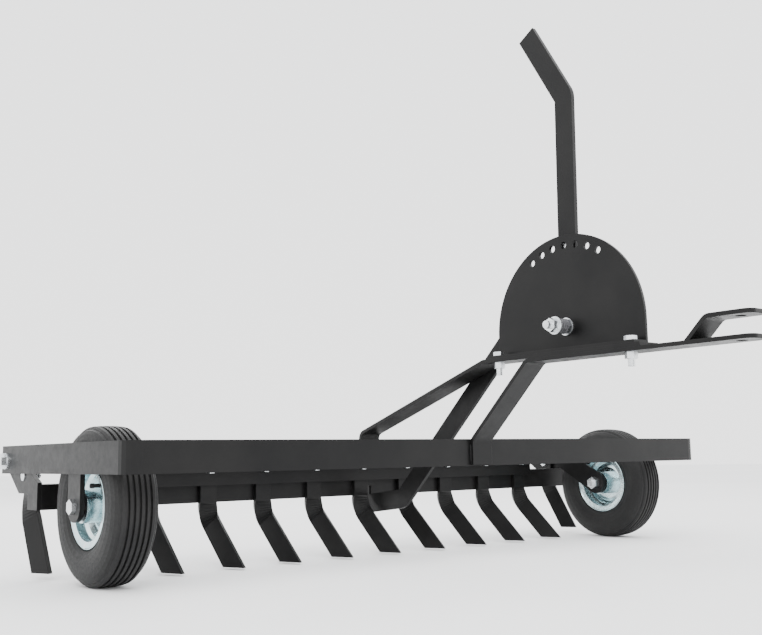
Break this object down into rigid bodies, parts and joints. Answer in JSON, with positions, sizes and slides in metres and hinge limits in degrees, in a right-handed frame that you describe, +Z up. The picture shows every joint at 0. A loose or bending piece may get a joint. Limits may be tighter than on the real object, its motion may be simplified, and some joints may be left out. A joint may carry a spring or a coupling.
{
  "type": "tow-behind tine rake",
  "caption": "Wheeled rake towed by a pin hitch: a strip-steel frame carries a hinged bar of twisted tines, set for depth by a hand lever on a drilled sector.",
  "frame": {"origin": "centre of the bounding box in plan, at ground level under the tyres", "axes": "+Z up along the hitch pin, +X across the machine, -Y towards the hitch, +Y to the rear"},
  "size_m": [1.4828, 1.145, 1.0196],
  "materials": {
    "black_powder_coat": "satin",
    "zinc_fastener": "bright zinc",
    "zinc_rim": "bright zinc",
    "dark_steel": "oiled",
    "black_spacer": "matte",
    "tyre_rubber": "matte"
  },
  "bodies": {
    "frame": {"frame_rail": "black_powder_coat", "cross_member": "black_powder_coat", "tongue_lower_strap": "black_powder_coat", "tongue_upper_strap": "black_powder_coat", "hitch_lip": "black_powder_coat", "depth_sector": "black_powder_coat", "sector_bolts": "zinc_fastener", "sector_nuts": "zinc_fastener", "lever_pivot_bolt": "zinc_fastener", "lever_pivot_spring": "dark_steel", "lever_pivot_washers": "zinc_fastener", "lever_pivot_nut": "zinc_fastener", "outer_wheel_straps": "black_powder_coat", "inner_wheel_strap_left": "black_powder_coat", "inner_wheel_strap_right": "black_powder_coat", "axle_bolts": "zinc_fastener", "axle_nuts": "zinc_fastener", "axle_spacers": "black_spacer", "tine_bar_pivot_bolts": "zinc_fastener", "tine_bar_pivot_nuts": "zinc_fastener", "tine_bar_pivot_washers": "zinc_fastener"},
    "lever": {"lever_bar": "black_powder_coat"},
    "index_pin": {"index_pin": "zinc_fastener"},
    "tine_bar": {"tine_angle": "black_powder_coat", "clamp_strip": "black_powder_coat", "end_bracket_left": "black_powder_coat", "end_bracket_right": "black_powder_coat", "link_lug": "black_powder_coat", "link_bolt": "zinc_fastener", "link_nut": "zinc_fastener", "tine_bolts": "zinc_fastener", "tine_nuts": "zinc_fastener", "tine_1": "black_powder_coat", "tine_2": "black_powder_coat", "tine_3": "black_powder_coat", "tine_4": "black_powder_coat", "tine_5": "black_powder_coat", "tine_6": "black_powder_coat", "tine_7": "black_powder_coat", "tine_8": "black_powder_coat", "tine_9": "black_powder_coat", "tine_outer_left": "black_powder_coat", "tine_outer_right": "black_powder_coat"},
    "lift_link": {"lift_link": "black_powder_coat"},
    "left_wheel": {"left_tyre": "tyre_rubber", "left_rim_inner_half": "zinc_rim", "left_rim_outer_half": "zinc_rim", "left_hub": "zinc_rim", "left_bearings": "dark_steel"},
    "right_wheel": {"right_tyre": "tyre_rubber", "right_rim_inner_half": "zinc_rim", "right_rim_outer_half": "zinc_rim", "right_hub": "zinc_rim", "right_bearings": "dark_steel"}
  },
  "joints": [
    {"name": "lever_swing", "type": "hinge", "parent": "frame", "child": "lever", "pos_m": [0, -0.1935, 0.431], "axis": [1, 0, 0], "range_deg": [-10.3, 20.6]},
    {"name": "index_pin_slide", "type": "slide", "parent": "lever", "child": "index_pin", "axis": [-1, 0, 0], "range_m": [0, 0.008]},
    {"name": "tine_bar_swing", "type": "hinge", "parent": "frame", "child": "tine_bar", "pos_m": [0, 0.5475, 0.208], "axis": [1, 0, 0], "range_deg": [-14.6, 7.3]},
    {"name": "lift_link_swing", "type": "hinge", "parent": "tine_bar", "child": "lift_link", "pos_m": [0, 0.4375, 0.099], "axis": [1, 0, 0], "range_deg": [-8.9, 17.7]},
    {"name": "left_wheel_spin", "type": "hinge", "parent": "frame", "child": "left_wheel", "pos_m": [-0.665, 0.2425, 0.132], "axis": [1, 0, 0], "continuous": true},
    {"name": "right_wheel_spin", "type": "hinge", "parent": "frame", "child": "right_wheel", "pos_m": [0.665, 0.2425, 0.132], "axis": [1, 0, 0], "continuous": true}
  ],
  "couplings": [
    {"joint": "tine_bar_swing", "follows": "lever_swing", "ratio": -0.7062},
    {"joint": "lift_link_swing", "follows": "lever_swing", "ratio": 0.8577}
  ]
}
